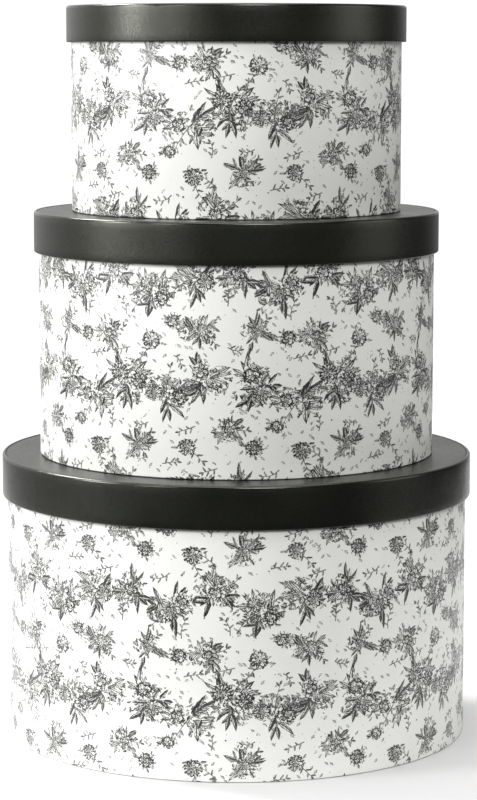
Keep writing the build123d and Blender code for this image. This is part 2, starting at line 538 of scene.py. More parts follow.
RAISED_FIBRE = 0.1 * MM
RAISED_PULP = 0.3 * MM
PULP_FLECK = (0.12, 0.1, 0.08, 1.0)
LEAF_OUTLINE = 0.31  # in half widths of the leaf, as the next one
LEAF_RIB = 0.16
LEAF_VEIN_INK = 0.75
PETAL_OUTLINE = 0.24
PETAL_LINES = 2.6
PETAL_LINE_INK = 0.9
BLOOM_WOBBLE = 1.4  # how far the rings of a flower stray
BLOOM_OUTLINE = 0.7  # share of a petal's depth at which its outline starts
TINY_LEAF_SCALE = (230.0, 480.0, 1.0)  # tiny leaves in a metre, along and across
TINY_LEAF_REACH = 0.5
TINY_LEAF_OUTLINE = 0.35
TINY_LEAF_RIB = 0.08
FULL_TURN = 6.28
GROUND_DOTS = 260.0  # places for dots in a metre
GROUND_DOT_REACH = 0.1
GROUND_DOT_SHARE = 0.4


def paper_finish(nodes, shader, paper, ink_amount=None, ink=None):
    """Smooth printed paper: faint clouds and fibres, with ink where ink_amount says."""
    place = nodes.object_place()
    clouds = nodes.noise(place, 38.0, 4.0, 0.6)
    fibres = nodes.noise(place, 1400.0)
    shade = nodes.spread(clouds, 0.3, 0.7, 0.955, 1.0) * nodes.spread(fibres, 0.3, 0.7, 0.97, 1.0)
    colour = nodes.shaded(paper, shade)
    roughness = nodes.spread(fibres, 0.2, 0.8, 0.4, 0.5)
    if ink_amount is not None:
        patchy = nodes.spread(nodes.noise(place, 520.0, 3.0), 0.3, 0.62, 0.9, 1.0)
        amount = ink_amount * patchy
        colour = nodes.mix(amount, colour, (*ink, 1.0))
        roughness = roughness - amount * 0.08
    nodes.feed(shader["Base Color"], colour)
    nodes.feed(shader["Roughness"], roughness)
    nodes.feed(shader["Normal"], nodes.bump(fibres, 0.12, RAISED_FIBRE))


def motif_place(nodes):
    """Length and breadth coordinates on one leaf or petal, and its tone."""
    along, across, _ = nodes.split(nodes.map_place("Motif"))
    return along | 0.001, across, nodes.tone()


def petal_ink(nodes):
    """One petal: outlined, and hatched from its foot over a light wash."""
    along, across, tone = motif_place(nodes)
    half_width = along ** 0.6 * nodes.math("SQRT", (1.0 - along ** 4.0).clamped())
    outline = abs(across) > half_width * 1.1 - PETAL_OUTLINE
    fade = (1.0 - along / (tone * 0.7 + 0.3)).clamped()
    hatching = (across * PETAL_LINES).zigzag() < fade * 0.6
    return hatching * PETAL_LINE_INK | fade * 0.5 | outline


def blade_ink(nodes):
    """One leaf: outlined, with a rib and slanting veins, and darker below its rib."""
    along, across, tone = motif_place(nodes)
    breadth = abs(across)
    half_width = nodes.math("SINE", along ** 0.8 * math.pi)
    outline = breadth > half_width - LEAF_OUTLINE
    rib = breadth < LEAF_RIB
    veins = (along * 5.0 - breadth * 1.5).zigzag() < tone * 0.3 + 0.05
    shadow = (across > 0.0) * nodes.spread(tone, 0.25, 0.75)
    return veins * LEAF_VEIN_INK | shadow | rib | outline


def polar_place(nodes):
    """Place on a round motif, distance from its middle, angle round it, and its own random turn."""
    place = nodes.map_place("Motif")
    x, y, _ = nodes.split(place)
    return place, nodes.vector("LENGTH", place), nodes.math("ARCTAN2", y, x), nodes.tone() * 40.0


def bloom_ink(nodes, rings, petals, scallop, rays):
    """Rings of overlapping petals: outlined, with rays that fade outwards from the ring above."""
    place, radius, angle, turn = polar_place(nodes)
    shaken = nodes.noise(nodes.vector("ADD", place, turn), 3.0, 3.0)
    outwards = shaken * BLOOM_WOBBLE + radius * rings
    wave = angle * (petals / 2) + (outwards.floor() * 1.9 + turn)
    level = outwards - abs(nodes.math("SINE", wave)) * scallop
    depth = nodes.math("FRACT", level)
    petal = (wave / math.pi).floor() + level.floor()
    luck = nodes.tap("ShaderNodeTexWhiteNoise", "Value", {"W": petal}, noise_dimensions="1D")
    shadow = (luck * 0.8 + 0.25 - depth).clamped()
    lines = (angle * (rays / (2 * math.pi))).zigzag() < shadow * 0.75
    return lines | shadow * 0.6 | (depth > BLOOM_OUTLINE)


def rose_ink(nodes):
    """A rose: a few broad petals in each ring."""
    return bloom_ink(nodes, 2.6, 4, 0.8, 14)


def frill_ink(nodes):
    """A carnation: many frilled petals in each ring."""
    return bloom_ink(nodes, 2.8, 8, 0.9, 16)


def tiny_leaves(nodes, angle, offset, share):
    """One layer of tiny pointed leaves that all lean one way, some dark and some only outlined."""
    sheet = {"Vector": nodes.map_place("Sheet"), "Angle": angle}
    turned = nodes.tap("ShaderNodeVectorRotate", 0, sheet, rotation_type="Z_AXIS")
    drawn = nodes.vector("MULTIPLY_ADD", turned, TINY_LEAF_SCALE, offset)
    reach, colour, middle = nodes.taps(
        "ShaderNodeTexVoronoi", ("Distance", "Color", "Position"), {"Vector": drawn, "Scale": 1.0},
        voronoi_dimensions="2D", distance="MANHATTAN",
    )
    darkness, _, rank = nodes.taps("ShaderNodeSeparateColor", (0, 1, 2), {"Color": colour})
    across = nodes.split(nodes.vector("SUBTRACT", drawn, middle))[1]
    kept = (reach < TINY_LEAF_REACH) * (rank < share)
    shadow = (across > -0.05) * nodes.spread(darkness, 0.3, 0.6)
    return kept * ((reach > TINY_LEAF_OUTLINE) | (abs(across) < TINY_LEAF_RIB) | shadow)


def thicket_ink(nodes):
    """A mass of tiny leaves in two layers, thinner towards its rim."""
    angle = nodes.tone() * FULL_TURN
    share = nodes.spread(polar_place(nodes)[1], 0.35, 1.05, 0.95, 0.2)
    lower = tiny_leaves(nodes, angle + 1.2, (0.0, 0.0, 0.0), share)
    return lower | tiny_leaves(nodes, angle, (7.3, 4.1, 0.0), share)


def full_ink(nodes):
    """Solid ink, a little patchy, for stems and dots."""
    return nodes.spread(nodes.noise(nodes.object_place(), 300.0), 0.2, 0.8, 0.85, 1.0)


def ground_ink(nodes):
    """Stray dots and single tiny leaves on the plain ground."""
    scattered = {"Vector": nodes.object_place(), "Scale": GROUND_DOTS}
    reach, colour = nodes.taps("ShaderNodeTexVoronoi", ("Distance", "Color"), scattered)
    rank = nodes.tap("ShaderNodeSeparateColor", 0, {"Color": colour})
    dots = (reach < GROUND_DOT_REACH) * (rank < GROUND_DOT_SHARE) * 0.7
    leaves = tiny_leaves(nodes, 0.7, (2.0, 9.0, 0.0), 0.05) | tiny_leaves(nodes, 2.3, (5.0, 3.0, 0.0), 0.04)
    return dots | leaves * 0.8


def print_materials(settings):
    """The print's finishes, in the order of the kinds of motif."""
    made = []
    for name, ink_amount in (
        ("printed_ground", ground_ink),
        ("engraved_blade", blade_ink),
        ("engraved_petal", petal_ink),
        ("engraved_rose", rose_ink),
        ("engraved_frill", frill_ink),
        ("engraved_thicket", thicket_ink),
        ("printed_ink", full_ink),
    ):
        material, nodes, shader = new_material(name)
        paper_finish(nodes, shader, settings.paper, ink_amount(nodes), settings.ink)
        made.append(material)
    return made


def plain_paper(name, colour):
    """Uncoated lining paper."""
    material, nodes, shader = new_material(name)
    paper_finish(nodes, shader, colour)
    return material


def chipboard(colour):
    """Grey board with flecks of pulp."""
    material, nodes, shader = new_material("chipboard")
    place = nodes.object_place()
    pulp = nodes.noise(place, 260.0, 4.0, 0.7)
    flecks = nodes.spread(nodes.noise(place, 900.0), 0.62, 0.72)
    board = nodes.shaded(colour, nodes.spread(pulp, 0.25, 0.75, 0.75, 1.1))
    nodes.feed(shader["Base Color"], nodes.mix(flecks * 0.6, board, PULP_FLECK))
    nodes.feed(shader["Roughness"], nodes.spread(pulp, 0.2, 0.8, 0.8, 0.95))
    nodes.feed(shader["Normal"], nodes.bump(pulp, 0.4, RAISED_PULP))
    return material


# Printed paper

JOINING_DISTANCE = 0.004 * MM  # of the repeats' shared edges
PAPER_LAP_STEP = 0.0015  # angle in which the paper rises to its lap
HEM = 1.0 * MM  # the lap fades out over this, beside each fold
MAP_MARGIN, MAP_WIDTH = 0.02, 0.96
ROW_FOOT, ROW_HEIGHT, ROW_PITCH = 0.005, 0.46, 1.01
GLUED_FOOT, GLUED_HEIGHT, GLUED_WIDTH = 0.945, 0.04, 0.94


def paper_profile(box, settings):
    """Outer and inner line of the printed paper in the cut face, from under the base to inside the wall."""
    lines = []
    for depth in (0.0, settings.thickness):
        side = box.radius - depth
        lap = box.wall_inner - settings.thickness + depth
        foot, head = box.wrap_bottom + depth, box.box_top - depth
        fold = settings.fold_rounding - depth
        under = box.radius - settings.turn_under
        corners = [(under, foot), (side, foot), (side, head), (lap, head), (lap, box.turn_in_z)]
        lines.append(round_path(corners, (0.0, fold, fold, fold, 0.0), settings.fold_steps))
    return lines


def path_lengths(points):
    """Distance of each point along the path."""
    lengths = [0.0]
    for a, b in zip(points, points[1:]):
        lengths.append(lengths[-1] + math.dist(a, b))
    return lengths


def column_of_print(name, repeat, width, marks, shift):
    """One repeat's width of flat paper, as high as the sheet, cut where the paper will bend."""
    points, faces, shown = repeat
    scale = width / TILE[0]
    height = TILE[1] * scale
    first = math.floor(-shift / height)
    last = math.floor((marks[-1] - shift) / height)
    bm = bmesh.new()
    motif = bm.loops.layers.uv.new("Motif")
    tone = bm.faces.layers.float.new("tone")
    kind = bm.faces.layers.int.new("kind")
    for row in range(first, last + 1):
        lift = row * height + shift
        verts = [bm.verts.new((x * scale, y * scale + lift, 0.0)) for x, y in points]
        for face, what in zip(faces, shown):
            made = bm.faces.new([verts[i] for i in face])
            if what is None:
                made[kind] = PAPER
                continue
            shape, shift_x, shift_y = what
            _, made[kind], made[tone], (x0, y0, angle), (length, breadth, bend) = shape
            cos, sin = math.cos(angle), math.sin(angle)
            for loop, i in zip(made.loops, face):
                dx = points[i][0] - x0 - shift_x
                dy = points[i][1] - y0 - shift_y
                along = (dx * cos + dy * sin) / length
                across = (dy * cos - dx * sin) / breadth - bend * length / breadth * along * along
                loop[motif].uv = (along, across)
    bmesh.ops.remove_doubles(bm, verts=bm.verts, dist=width * 1e-5)
    for mark in marks:
        everything = bm.verts[:] + bm.edges[:] + bm.faces[:]
        bmesh.ops.bisect_plane(
            bm, geom=everything, dist=ON_THE_CUT, plane_co=(0.0, mark, 0.0), plane_no=(0.0, 1.0, 0.0),
            clear_inner=mark == marks[0], clear_outer=mark == marks[-1],
        )
    bmesh.ops.triangulate(bm, faces=bm.faces)
    return plain_mesh(name, bm)


def plain_mesh(name, bm):
    """Ends the editing of a mesh and gives it this name."""
    mesh = bpy.data.meshes.new(name)
    bm.to_mesh(mesh)
    bm.free()
    return mesh


def wrapping_tree(materials):
    """Geometry nodes that repeat a column of flat print and wrap it round a box along its profile."""
    tree = bpy.data.node_groups.new("Wrap printed paper", "GeometryNodeTree")
    for name, kind in (
        ("Geometry", "Geometry"), ("Profile", "Object"), ("Repeats", "Int"),
        ("Repeat Width", "Float"), ("Start Angle", "Float"),
    ):
        tree.interface.new_socket(name, in_out="INPUT", socket_type=f"NodeSocket{kind}")
    tree.interface.new_socket("Geometry", in_out="OUTPUT", socket_type="NodeSocketGeometry")
    nodes = Nodes(tree)
    column, guide, repeats, width, start = nodes.taps("NodeGroupInput", range(5))
    step = nodes.tap("ShaderNodeCombineXYZ", 0, {"X": width})
    line = nodes.tap("GeometryNodeMeshLine", 0, {"Count": repeats, "Offset": step})
    copies = nodes.tap("GeometryNodeInstanceOnPoints", 0, {"Points": line, "Instance": column})
    sheet = nodes.tap("GeometryNodeRealizeInstances", 0, {"Geometry": copies})
    place = nodes.tap("GeometryNodeInputPosition", 0)
    keep = {"Geometry": sheet, "Name": "Sheet", "Value": place}
    kept = nodes.tap("GeometryNodeStoreNamedAttribute", 0, keep, data_type="FLOAT2", domain="CORNER")
    across, down, _ = nodes.split(place)
    profile = nodes.tap("GeometryNodeObjectInfo", "Geometry", {"Object": guide})
    curve = nodes.tap("GeometryNodeMeshToCurve", 0, {"Mesh": profile})
    at = nodes.tap("GeometryNodeSampleCurve", "Position", {"Curves": curve, "Length": down}, mode="LENGTH")
    radius, _, height = nodes.split(at)
    angle = across / (repeats * width) * (2.0 * math.pi) + start
    round_the_box = {
        "X": radius * nodes.math("SINE", angle),
        "Y": radius * (nodes.math("COSINE", angle) * -1.0),
        "Z": height,
    }
    wrapped = nodes.tap("ShaderNodeCombineXYZ", 0, round_the_box)
    moved = nodes.tap("GeometryNodeSetPosition", 0, {"Geometry": kept, "Position": wrapped})
    joined = nodes.tap("GeometryNodeMergeByDistance", 0, {"Geometry": moved, "Distance": JOINING_DISTANCE})
    result = nodes.tap("GeometryNodeRealizeInstances", 0, {"Geometry": joined})
    kind = nodes.tap("GeometryNodeInputNamedAttribute", 0, {"Name": "kind"}, data_type="INT")
    for number, material in enumerate(materials):
        pair = {2: kind, 3: number}
        chosen = nodes.tap("FunctionNodeCompare", 0, pair, data_type="INT", operation="EQUAL")
        finish = {"Geometry": result, "Selection": chosen, "Material": material}
        result = nodes.tap("GeometryNodeSetMaterial", 0, finish)
    nodes.add("NodeGroupOutput", {0: result})
    return tree


def wrap_column(name, column, tree, profile, repeats, width, start_angle):
    """Runs the wrapping tree on one column and gives the plain mesh."""
    path = bpy.data.meshes.new(f"{name}_profile")
    path.from_pydata([(r, 0.0, z) for r, z in profile], [(i, i + 1) for i in range(len(profile) - 1)], [])
    guide = bpy.data.objects.new(f"{name}_profile", path)
    worker = bpy.data.objects.new(f"{name}_flat", column)
    for obj in (guide, worker):
        bpy.context.scene.collection.objects.link(obj)
    modifier = worker.modifiers.new("Wrap", "NODES")
    modifier.node_group = tree
    values = {"Profile": guide, "Repeats": repeats, "Repeat Width": width, "Start Angle": start_angle}
    for item in tree.interface.items_tree:
        if item.in_out == "INPUT" and item.name in values:
            modifier[item.identifier] = values[item.name]
    bpy.context.view_layer.update()
    evaluated = worker.evaluated_get(bpy.context.evaluated_depsgraph_get())
    mesh = bpy.data.meshes.new_from_object(evaluated)
    worker.modifiers.remove(modifier)
    for obj in (guide, worker):
        bpy.data.objects.remove(obj)
    bpy.data.meshes.remove(path)
    if mesh.materials[0] is None:
        mesh.materials.pop(index=0)
    mesh.name = name
    return mesh


def around(vert):
    """Angle of a point round the axis, from the back."""
    return math.atan2(vert.co.x, -vert.co.y)


def boundary_rings(bm):
    """The open edges of the mesh as closed rings of points, each from the back round to the back."""
    open_edges = {}
    for edge in bm.edges:
        if len(edge.link_faces) == 1:
            for vert in edge.verts:
                open_edges.setdefault(vert, []).append(edge)
    left = set(open_edges)
    rings = []
    while left:
        start = left.pop()
        ring = [start]
        stack = [start]
        while stack:
            vert = stack.pop()
            for edge in open_edges[vert]:
                other = edge.other_vert(vert)
                if other in left:
                    left.remove(other)
                    ring.append(other)
                    stack.append(other)
        ring.sort(key=around)
        rings.append(ring)
    rings.sort(key=lambda ring: ring[0].co.z)
    return rings


def close_band(bm, first, second):
    """Joins two rings of points by one row of triangles."""
    made = []
    i = j = 0
    first_angles, second_angles = (
        [around(vert) for vert in ring] + [around(ring[0]) + 2 * math.pi] for ring in (first, second)
    )
    while i < len(first) or j < len(second):
        a, b = first[i % len(first)], second[j % len(second)]
        if j >= len(second) or (i < len(first) and first_angles[i + 1] <= second_angles[j + 1]):
            i += 1
            corners = (a, first[i % len(first)], b)
        else:
            j += 1
            corners = (a, second[j % len(second)], b)
        made.append(bm.faces.new(corners))
    return made


def glued_side(bm, box, inner, segments):
    """Closes the sheet with the side that is glued to the board, and gives its faces."""
    rings = boundary_rings(bm)
    if len(rings) != 2:
        raise RuntimeError(f"the {box.size} box's printed paper has {len(rings)} open edges, not 2")
    angles = [2 * math.pi * (k + 0.5) / segments - math.pi for k in range(segments)]
    rows = [[bm.verts.new((r * math.sin(a), -r * math.cos(a), z)) for a in angles] for r, z in inner]
    faces = close_band(bm, rings[0], rows[0])
    for a, b in zip(rows, rows[1:]):
        for k in range(segments):
            n = (k + 1) % segments
            faces.append(bm.faces.new((a[k], a[n], b[n], b[k])))
    faces += close_band(bm, rows[-1], rings[1])
    for face in faces:
        face.normal_flip()
    return faces


def printed_paper(box, repeat, tree, settings):
    """The printed paper of one box as a closed sheet of its real thickness."""
    name = f"{box.size}_printed_paper"
    repeats = settings.repeats[box.number]
    outer, inner = paper_profile(box, settings)
    girth = 2 * math.pi * box.radius
    width = girth / repeats
    marks = path_lengths(outer)
    column = column_of_print(name, repeat, width, marks, settings.shifts[box.number])
    mesh = wrap_column(name, column, tree, outer, repeats, width, settings.seam_angle)
    bm = bmesh.new()
    bm.from_mesh(mesh)
    lap_paper(bm, box, settings)
    front = len(bm.faces)
    back = glued_side(bm, box, inner, settings.back_segments)
    bmesh.ops.triangulate(bm, faces=back)
    bm.normal_update()
    bm.to_mesh(mesh)
    bm.free()
    sheet, place = corner_places(mesh)
    smooth_sheet(mesh, front, sheet, place, outer, marks)
    unroll(mesh, front, sheet, place, girth, marks[-1])
    paper = bpy.data.objects.new(name, mesh)
    bpy.context.scene.collection.objects.link(paper)
    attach(paper, f"{box.size}_box")
    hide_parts(f"{box.size}_box_printed_wrap")


def around_back(place):
    """Angle of a place round the axis, from the middle of the back."""
    return math.remainder(math.atan2(place.x, -place.y) - math.pi, 2 * math.pi)


def lap_paper(bm, box, settings):
    """Raises the wall's paper where its end laps over its start, at the back."""
    half = settings.lap / 2 / box.radius
    cut_edge = math.pi - half
    near = [f for f in bm.faces if abs(around_back(f.calc_center_median())) < half * 3]
    for angle in (cut_edge, cut_edge + PAPER_LAP_STEP):
        geom = list({item for f in near for item in (*f.verts, *f.edges, f)})
        side = (math.cos(angle), math.sin(angle), 0.0)
        pieces = bmesh.ops.bisect_plane(bm, geom=geom, dist=ON_THE_CUT, plane_co=(0, 0, 0), plane_no=side)
        near = [item for item in pieces["geom"] if isinstance(item, bmesh.types.BMFace)]
    bmesh.ops.triangulate(bm, faces=[f for f in bm.faces if len(f.verts) > 3])
    for vert in bm.verts:
        share = (around_back(vert.co) + half) / (2 * half)
        if not 0.02 < share < 1.0 or math.hypot(vert.co.x, vert.co.y) < box.radius - 0.05 * MM:
            continue
        fade = min(1.0, (vert.co.z - box.wrap_bottom) / HEM - 1.0, (box.box_top - vert.co.z) / HEM - 1.0)
        lift = 1.0 + settings.thickness / box.radius * (1 - share * share) * max(0.0, fade)
        vert.co.x *= lift
        vert.co.y *= lift


def corner_places(mesh):
    """For each corner of the mesh's faces, its place on the flat sheet and its place on the box."""
    sheet = np.zeros(len(mesh.loops) * 2)
    mesh.attributes["Sheet"].data.foreach_get("vector", sheet)
    corner = np.zeros(len(mesh.loops), int)
    mesh.loops.foreach_get("vertex_index", corner)
    place = np.zeros(len(mesh.vertices) * 3)
    mesh.vertices.foreach_get("co", place)
    return sheet.reshape(-1, 2), place.reshape(-1, 3)[corner]


def smooth_sheet(mesh, front, sheet, place, profile, marks):
    """Gives the printed side the true normals of the rolled sheet."""
    printed = front * 3
    down = sheet[:printed, 1]
    place = place[:printed]
    way = np.diff(np.array(profile), axis=0)
    way /= np.linalg.norm(way, axis=1)[:, None]
    mean = np.vstack((way[:1], (way[1:] + way[:-1]) / 2, way[-1:]))
    out_r = np.interp(down, marks, mean[:, 1])
    out_z = np.interp(down, marks, -mean[:, 0])
    radius = np.hypot(place[:, 0], place[:, 1])
    normals = np.zeros((len(mesh.loops), 3))
    normals[:printed, 0] = out_r * place[:, 0] / radius
    normals[:printed, 1] = out_r * place[:, 1] / radius
    normals[:printed, 2] = out_z
    normals[:printed] /= np.linalg.norm(normals[:printed], axis=1)[:, None]
    mesh.polygons.foreach_set("use_smooth", [True] * front + [False] * (len(mesh.polygons) - front))
    mesh.normals_split_custom_set(normals)


def unroll(mesh, front, sheet, place, length, height):
    """Lays the sheet out in two rows on its own UV map, with the hidden faces in a strip above."""
    sheet = sheet.reshape(-1, 3, 2)
    place = place.reshape(-1, 3, 3)
    row = (sheet[:, :, 0].mean(1) > length / 2).astype(float)[:, None]
    u = MAP_MARGIN + MAP_WIDTH * (sheet[:, :, 0] * 2 / length - row)
    v = ROW_FOOT + ROW_HEIGHT * (sheet[:, :, 1] / height + row * ROW_PITCH)
    angle = np.arctan2(place[:, :, 0], -place[:, :, 1]) / (2 * math.pi) + 0.5
    first = angle[:, :1]
    angle = angle + (first - angle > 0.5) - (angle - first > 0.5)
    rise = (place[:, :, 2] - place[:, :, 2].min()) / height
    u[front:] = MAP_MARGIN + GLUED_WIDTH * angle[front:]
    v[front:] = GLUED_FOOT + GLUED_HEIGHT * np.clip(rise[front:], 0.0, 1.0)
    layer = mesh.uv_layers.new(name="OFBake")
    layer.data.foreach_set("uv", np.stack((u, v), 2).ravel())


# Lids

RAISED_GRAIN = 0.12 * MM
LEATHER_LAP_STEP = 0.0012  # angle in which the leather paper rises to its lap
LONG_WAVE, SHORT_WAVE, EDGE_WAVE = 0.04 * MM, 0.025 * MM, 0.03 * MM
RIM_RUN, HIDDEN_RUN, TOP_RUN = 5 * MM, 12 * MM, 8 * MM  # longest runs between two rings of points


def lathe(name, loops, angles, waver):
    """Turns closed loops of the cut face round the axis. A loop that touches the axis is capped there.

    A loop that runs up on its outer side faces outwards, and one that runs down there is a hollow.
    """
    bm = bmesh.new()
    for loop in loops:
        rings = []
        for r, z in loop:
            if r < ON_THE_CUT:
                rings.append([bm.verts.new((0.0, 0.0, z))])
                continue
            ring = []
            for a in angles:
                dr, dz = waver(a, r, z)
                ring.append(bm.verts.new(((r + dr) * math.sin(a), -(r + dr) * math.cos(a), z + dz)))
            rings.append(ring)
        for a, b in zip(rings, rings[1:] + rings[:1]):
            for k in range(len(angles)):
                n = (k + 1) % len(angles)
                corners = [a[k % len(a)], a[n % len(a)], b[n % len(b)], b[k % len(b)]]
                corners = [c for i, c in enumerate(corners) if c is not corners[i - 1]]
                if len(corners) > 2:
                    bm.faces.new(corners)
    for face in bm.faces:
        face.smooth = True
    return plain_mesh(name, bm)


def closed_outline(left, right, bottom, top, roundings, steps):
    """Rounded rectangle of the cut face. roundings go top right, top left, bottom left, bottom right."""
    corners = [(right, bottom), (right, top), (left, top), (left, bottom), (right, bottom), (right, top)]
    return round_path(corners, (0.0, *roundings, 0.0), steps)[1:-1]


def fine_runs(path, longest, closed=True):
    """The path with points added so that no run is longer than this."""
    points = []
    for a, b in zip(path, path[1:] + path[:1] if closed else path[1:]):
        pieces = max(1, math.ceil(math.dist(a, b) / longest))
        for k in range(pieces):
            t = k / pieces
            points.append((a[0] + (b[0] - a[0]) * t, a[1] + (b[1] - a[1]) * t))
    return points if closed else points + [path[-1]]


def lid_leather(name, settings, roughness, grain_depth):
    """Dark leather-grained covering paper, with painted shade along the grain's creases."""
    material, nodes, shader = new_material(name)
    place = nodes.object_place()
    warp = nodes.noise(place, 500.0)
    grains = {"Vector": place, "Scale": settings.grain_scale}
    edge = nodes.tap("ShaderNodeTexVoronoi", "Distance", grains, feature="DISTANCE_TO_EDGE")
    crease = nodes.spread(edge, 0.0, 0.16)
    patches = nodes.noise(place, 22.0, 4.0, 0.6)
    # painted shade: the colour darkens along the grain's creases, over random patches of tone
    shade = nodes.spread(patches, 0.3, 0.7, 0.85, 1.12) * nodes.spread(crease, 0.0, 1.0, 0.72, 1.0)
    patchy = nodes.spread(patches, 0.3, 0.7, -0.03, 0.03)
    nodes.feed(shader["Base Color"], nodes.shaded(settings.colour, shade))
    nodes.feed(shader["Roughness"], patchy - crease * 0.05 + roughness)
    nodes.feed(shader["Normal"], nodes.bump(warp * 0.5 + crease, grain_depth, RAISED_GRAIN))
    shader["Specular Tint"].default_value = (*settings.gloss_tint, 1.0)
    return material


def lid_covers(box, materials, settings):
    """The leather paper of one lid: round the rim board, and over the top board."""
    thick = settings.thickness
    steps = settings.fold_steps
    phase = box.number * 1.7
    half = settings.lap / 2 / box.lid_radius
    cut_edge = math.pi - half
    even = [2 * math.pi * k / settings.segments for k in range(settings.segments)]
    angles = sorted(even + [cut_edge, cut_edge + LEATHER_LAP_STEP])
    middle = (box.bore + box.lid_radius) / 2

    def waver(a, r, z):
        """How far the paper strays outwards and upwards: fine waves, and the lap at the back."""
        lift = math.sin(3 * a + phase) * LONG_WAVE + math.sin(7 * a + phase * 2 + z * 60) * SHORT_WAVE
        if r > middle and cut_edge < a < math.pi + half:
            lift += thick * 0.9 * (1 - ((a - cut_edge) / half / 2) ** 2)
        return lift, math.sin(4 * a - phase + r * 40) * EDGE_WAVE

    fold, groove = settings.fold_rounding, settings.groove_rounding
    roundings = (settings.shoulder_rounding, groove, fold, fold)
    outside = (box.bore, box.lid_radius, box.lid_edge, box.lid_top)
    board = (box.bore + thick, box.lid_radius - thick, box.lid_edge + thick, box.lid_top - thick)
    skin = closed_outline(*outside, roundings, steps)
    hollow = closed_outline(*board, [value - thick for value in roundings], steps)
    rim_loops = (fine_runs(skin, RIM_RUN), fine_runs(hollow, HIDDEN_RUN)[::-1])
    rim = lathe(f"{box.size}_lid_rim_leather", rim_loops, angles, waver)

    inside = box.bore - thick
    cap = [(0.0, box.seat), (box.bore, box.seat), (box.bore, box.skirt_bottom)]
    under = [(inside, box.skirt_bottom), (inside, box.seat - thick), (0.0, box.seat - thick)]
    sheet = round_path(cap, (0.0, groove, 0.0), steps) + round_path(under, (0.0, groove - thick, 0.0), steps)
    top_loop = fine_runs(sheet, TOP_RUN, closed=False)[::-1]
    top = lathe(f"{box.size}_lid_top_leather", (top_loop,), angles, waver)
    for mesh, node in ((rim, "lid_rim_cover"), (top, "lid_top_cover")):
        for material in materials:
            mesh.materials.append(material)
        burnish(mesh, box, settings.shoulder_rounding)
        piece = bpy.data.objects.new(mesh.name, mesh)
        bpy.context.scene.collection.objects.link(piece)
        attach(piece, f"{box.size}_lid")
        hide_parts(f"{box.size}_{node}")


def burnish(mesh, box, reach):
    """Gives the faces of the lid's top outer edge the second material."""
    for face in mesh.polygons:
        x, y, z = face.center
        if math.hypot(x, y) > box.lid_radius - reach and z > box.lid_top - reach:
            face.material_index = 1


# Settings


def length_input(name, description, default):
    """A length in metres that a user may change."""
    return FloatProperty(name=name, description=description, unit="LENGTH", default=default)


def angle_input(name, description, default):
    """An angle in radians that a user may change."""
    return FloatProperty(name=name, description=description, subtype="ANGLE", default=default)


def colour_input(name, description, default):
    """A colour that a user may change."""
    return FloatVectorProperty(name=name, description=description, subtype="COLOR", default=default)


def number_input(name, description, default, least=0.0, most=1000.0):
    """A plain number that a user may change."""
    return FloatProperty(name=name, description=description, default=default, min=least, max=most)


def count_input(name, description, default, least=1):
    """A whole number that a user may change."""
    return IntProperty(name=name, description=description, default=default, min=least)


class PrintedPaperSettings(bpy.types.PropertyGroup):
    """Sizes and colours of the printed paper."""

    paper: colour_input("Paper", "Colour of the ground", (0.785, 0.79, 0.757))
    ink: colour_input("Ink", "Colour of the print", (0.005, 0.0055, 0.0045))
    thickness: length_input("Thickness", "Thickness of the paper", 0.3 * MM)
    turn_under: length_input("Turn under", "Width folded under the base", 12 * MM)
    fold_rounding: length_input("Fold rounding", "Radius of the folds", 0.9 * MM)
    fold_steps: count_input("Fold steps", "Flat steps in each fold", 3)
    lap: length_input("Lap", "Width of the paper's lap at the back", 12 * MM)
    back_segments: count_input("Back segments", "Segments of the glued side", 112, 32)
    design_seed: count_input("Design seed", "Seed of the floral drawing", 3, 0)
    repeats: IntVectorProperty(
        name="Repeats", description="Repeats of the print round the large, medium and small box",
        size=len(SIZES), default=(7, 6, 5), min=1,
    )
    shifts: FloatVectorProperty(
        name="Shifts", description="Height of the repeat's foot on the large, medium and small box",
        size=len(SIZES), default=(0.03, 0.04, 0.05), unit="LENGTH",
    )
    seam_angle: angle_input("Seam angle", "Angle of the seam, from the front", math.pi)


class LidSettings(bpy.types.PropertyGroup):
    """Sizes and colours of the lids' covering paper."""

    colour: colour_input("Colour", "Colour of the leather paper", (0.0075, 0.0085, 0.0065))
    gloss_tint: colour_input("Gloss tint", "Tint of the leather paper's gloss", (0.985, 1.0, 0.86))
    roughness: number_input("Roughness", "Roughness of the leather paper", 0.31, most=1.0)
    edge_roughness: number_input("Edge roughness", "Roughness over the top edge", 0.17, most=1.0)
    grain_scale: number_input("Grain scale", "Grains in a metre", 1100.0, 1.0, 5000.0)
    grain_depth: number_input("Grain depth", "Strength of the grain", 0.25, most=1.0)
    thickness: length_input("Thickness", "Thickness of the leather paper", 0.35 * MM)
    shoulder_rounding: length_input("Shoulder", "Radius of the top outer edge", 1.9 * MM)
    groove_rounding: length_input("Groove rounding", "Radius of the edges beside the groove", 0.75 * MM)
    fold_rounding: length_input("Fold rounding", "Radius of the lower edges", 0.95 * MM)
    lap: length_input("Lap", "Width of the paper's lap at the back", 14 * MM)
    fold_steps: count_input("Fold steps", "Flat steps in each rounded edge", 6)
    segments: count_input("Segments", "Segments round the lid", 360, 64)


class LiningSettings(bpy.types.PropertyGroup):
    """Colours of the linings and boards."""

    lining: colour_input("Lining", "Colour of the lining paper", (0.80, 0.79, 0.75))
    board: colour_input("Board", "Colour of the chipboard", (0.36, 0.33, 0.28))


